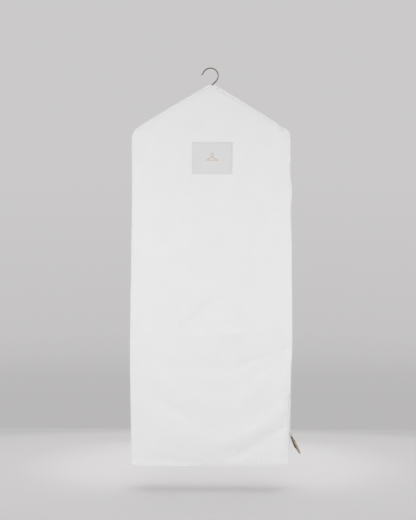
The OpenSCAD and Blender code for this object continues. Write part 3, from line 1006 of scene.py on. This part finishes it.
def tape(side, name, node):
    """Ribbed tape with a cord along its inner edge, where the teeth grip it."""
    y = np.array([0, .0003, .0008, .0013, .0018, .0030, .0055, .0080, .0105, .0124])
    bead = np.array([.0001, .0004, .0005, .0004, 0, 0, 0, 0, 0, 0])
    z = np.linspace(TAPE_LOW.z, TAPE_HIGH.z, 220)
    points = join(TAPE_HIGH.x + bead - .0002, side * (TAPE_LOW.y + y), z[:, None])
    obj = new_object(name, points, grid_faces(len(z), len(y), flip=side > 0),
                     join(z[:, None], y))
    thicken(obj, .0007)
    place(obj, TAPE, "zip_tape", node)


def tooth(side, z):
    """One moulded tooth: a waisted block whose head reaches towards the other row."""
    reach = np.array([.00055, .0009, .0016, .0022, .0036])
    half_z = np.array([.00080, .00102, .00092, .00080, .00092])
    half_x = np.array([.00080, .00125, .00140, .00140, .00150])
    middle_x = (TEETH_LOW.x + TEETH_HIGH.x) / 2
    ring = both_ways([(-1, -.6), (-1, .6), (-.6, 1), (.6, 1)])
    return join(middle_x + half_x[:, None] * ring[:, 0], side * reach[:, None],
                z + half_z[:, None] * ring[:, 1])


def teeth(side, name, node):
    """One row of teeth, half a pitch away from the other row."""
    shift = 0 if side < 0 else TOOTH_PITCH / 2
    heights = np.arange(TEETH_LOW.z + .001 + shift, TEETH_HIGH.z - .0006, TOOTH_PITCH)
    points = np.array([tooth(side, z) for z in heights])
    rows, cols = points.shape[1:3]
    faces = []
    for start in range(0, len(heights) * rows * cols, rows * cols):
        faces += grid_faces(rows, cols, around=True, start=start, flip=side < 0)
        last = start + (rows - 1) * cols
        ends = [list(range(start, start + cols)), list(range(last, last + cols))[::-1]]
        faces += ends if side > 0 else [end[::-1] for end in ends]
    obj = new_object(name, points, faces)
    obj.data.polygons.foreach_set("use_smooth", [False] * len(obj.data.polygons))
    bevel(obj, .00012, 1)
    place(obj, PLASTIC, "zip_teeth", node)


for side, word in ((-1, "front"), (1, "rear")):
    tape(side, "tape_" + word, "zip_tape_" + word)
    teeth(side, "teeth_" + word, "zip_teeth_" + word)

# ---- leather pull
PIVOT = Vector(JOINTS["ring_swing"]["pos_m"])
RING_LOW = Vector(JOINTS["tab_swing"]["pos_m"])
PULL_UP = (PIVOT - RING_LOW).normalized()
PULL_WIDE = Vector(JOINTS["tab_swing"]["axis"]).normalized()
PULL_FACE = PULL_WIDE.cross(PULL_UP)
LEATHER_T = .002
TAB_HALF, NECK_HALF = .0062, .0023
TAB_L = .0694
FOLD_R = .0024
FOLD_DROP = -.0006
TIP_L = .014
SHORT_SHARE = .70


def on_pull(face, wide, up):
    """Points of the pull in the row frame, from the ring's lowest point."""
    axes = np.array([PULL_FACE, PULL_WIDE, PULL_UP])
    return np.array(RING_LOW) + join(face, wide, up) @ axes


def strap_line():
    """The strap's middle line, (face, up), from the long tip over the ring to the short tip."""
    down = np.linspace(TAB_L, 0, 56)
    together = smooth((down - .001) / .006)
    splay = .0022 * np.sin(np.clip((down - .016) / .05, 0, 1) * math.pi)
    near = FOLD_R + (LEATHER_T / 2 + .00005 - FOLD_R) * together
    over = np.linspace(0, math.pi, 15)[1:-1]
    short = down[::-1][down[::-1] <= TAB_L * SHORT_SHARE]
    far = np.interp(short, down[::-1], near[::-1]) + np.interp(short, down[::-1], splay[::-1])
    face = np.concatenate([near, FOLD_R * np.cos(over), -far])
    up = np.concatenate([-down, FOLD_R * np.sin(over), -short]) - FOLD_DROP
    reach = np.concatenate([down, np.zeros(len(over)), short])
    end = np.append(np.full(len(down) + len(over), TAB_L),
                    np.full(len(short), TAB_L * SHORT_SHARE))
    return face, up, reach, end


def strap():
    """One strip of leather folded over the ring, pointed at both ends, dark at its burnished edges
    and darkened on its shorter inner layer as painted shade.
    """
    face, up, reach, end = strap_line()
    half = NECK_HALF + (TAB_HALF - NECK_HALF) * smooth((reach - .002) / .012)
    tip = np.clip((end - reach) / TIP_L, 0, 1)
    half = half * (1 - (1 - tip) ** 1.3) + .0004
    ahead = join(np.gradient(face), np.gradient(up))
    ahead /= np.linalg.norm(ahead, axis=1)[:, None]
    normal = join(-ahead[:, 1], ahead[:, 0])
    ring = both_ways([(-1, 0), (-.985, .62), (-.93, .93), (-.7, 1), (-.35, 1), (0, 1), (.35, 1),
                      (.7, 1), (.93, .93), (.985, .62)])
    off = ring[:, 1] * LEATHER_T / 2
    points = on_pull(face[:, None] + normal[:, :1] * off, half[:, None] * ring[:, 0],
                     up[:, None] + normal[:, 1:] * off)
    rows, sides = points.shape[:2]
    faces = grid_faces(rows, sides, around=True)
    faces += [list(range(sides))[::-1], list(range((rows - 1) * sides, rows * sides))]
    obj = new_object("leather_pull", points, faces)
    rim = smooth((np.abs(ring[:, 0]) - .84) / .1)
    tip_rim = smooth((.0012 - (end - reach)) / .001)
    burnt_and_painted_shade = np.maximum(rim, tip_rim[:, None])
    # The shorter inner layer is darkened: painted shade where that layer lies in shadow
    inner = .72 * smooth((reach - .004) / .004) * (end < TAB_L)
    burnt_and_painted_shade = np.maximum(burnt_and_painted_shade, inner[:, None])
    edge = obj.data.attributes.new("edge", "FLOAT", "POINT")
    edge.data.foreach_set("value", burnt_and_painted_shade.astype(np.float32).ravel())
    place(obj, LEATHER, "leather", "pull_tab", body="pull_tab")


def binding():
    """Turns of waxed thread round both layers."""
    low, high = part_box("tab_binding")
    middle = (low + high) / 2
    drop = (RING_LOW - middle).dot(PULL_UP)
    turns, radius, off, power = 4, .00032, .0003, .22
    t = np.linspace(0, turns, turns * 40)
    angle = 2 * math.pi * t
    half_face, half_wide = LEATHER_T + off, TAB_HALF + off
    face = half_face * np.sign(np.cos(angle)) * np.abs(np.cos(angle)) ** power
    wide = half_wide * np.sign(np.sin(angle)) * np.abs(np.sin(angle)) ** power
    up = -drop + (t - turns / 2) * radius * 2.05
    path = on_pull(face, wide, up)
    obj = tubes_object("thread_binding", [dict(path=path, radius=radius, sides=8,
                                               up=tuple(PULL_UP))])
    place(obj, DARK_THREAD, "thread", "tab_binding", body="pull_tab")


strap()
binding()


# ---- CAD nodes that stay as they are, with their own finish and worn edges
for node, material, worn in (
        ("hook", BRONZE, 0), ("hook_nut", BRONZE, .0003), ("hook_washer", NICKEL, .0002),
        ("hanger_ferrule", BRONZE, .0004), ("hanger_arm_left", BEECH, .002),
        ("hanger_arm_right", BEECH, .002), ("arm_dowels", BEECH, .0003),
        ("zip_top_stop", NICKEL, .0005), ("zip_bottom_stop", NICKEL, .0005),
        ("slider_body", NICKEL, .00025), ("slider_bail", NICKEL, .0003),
        ("pull_ring", NICKEL, 0)):
    obj = dress(frame["nodes"][node], material)
    if worn:
        bevel(obj, worn, 2)

# ---- lights
BAG_MIDDLE = (0, 0, -.76)


def soft_box(name, power, size, at, to, floor_only=False):
    """An area light, for the floor alone or for everything else."""
    data = bpy.data.lights.new(name, "AREA")
    data.energy = power
    data.shape = "RECTANGLE"
    data.size, data.size_y = size
    lamp = add_object(name, data)
    point_at(lamp, at, to)
    lit = bpy.data.collections.new(name + "_floor")
    lit.objects.link(bpy.data.objects["floor"])
    lit.collection_objects[0].light_linking.link_state = "INCLUDE" if floor_only else "EXCLUDE"
    lamp.light_linking.receiver_collection = lit
    lamp.visible_camera = False


for light_name, power, size, at in (
        ("key", 12, (1.3, 1.3), (-1.0, -2.1, -.53)),
        ("fill", 9.5, (1.3, 1.3), (1.0, -2.1, -.98)),
        ("left_side", 11, (1.4, 2.4), (-2.4, .3, -.75)),
        ("right_side", 11, (1.4, 2.4), (2.4, .3, -.75)),
        ("back", 28, (2.4, 2.4), (.4, 3.2, -.4)),
        ("top", 12.4, (1.6, 1.0), (0, -.1, 2.0))):
    soft_box(light_name, power, size, at, BAG_MIDDLE)
for light_name, side in (("left_edge", -1), ("right_edge", 1)):
    soft_box(light_name, 1.5, (.5, .9), (side * 1.05, -.9, -.66), (side * .1, 0, -.66))
soft_box("overhead", 39, (3.4, 5.4), (0, .1, 1.0), (0, .1, -1.5), floor_only=True)
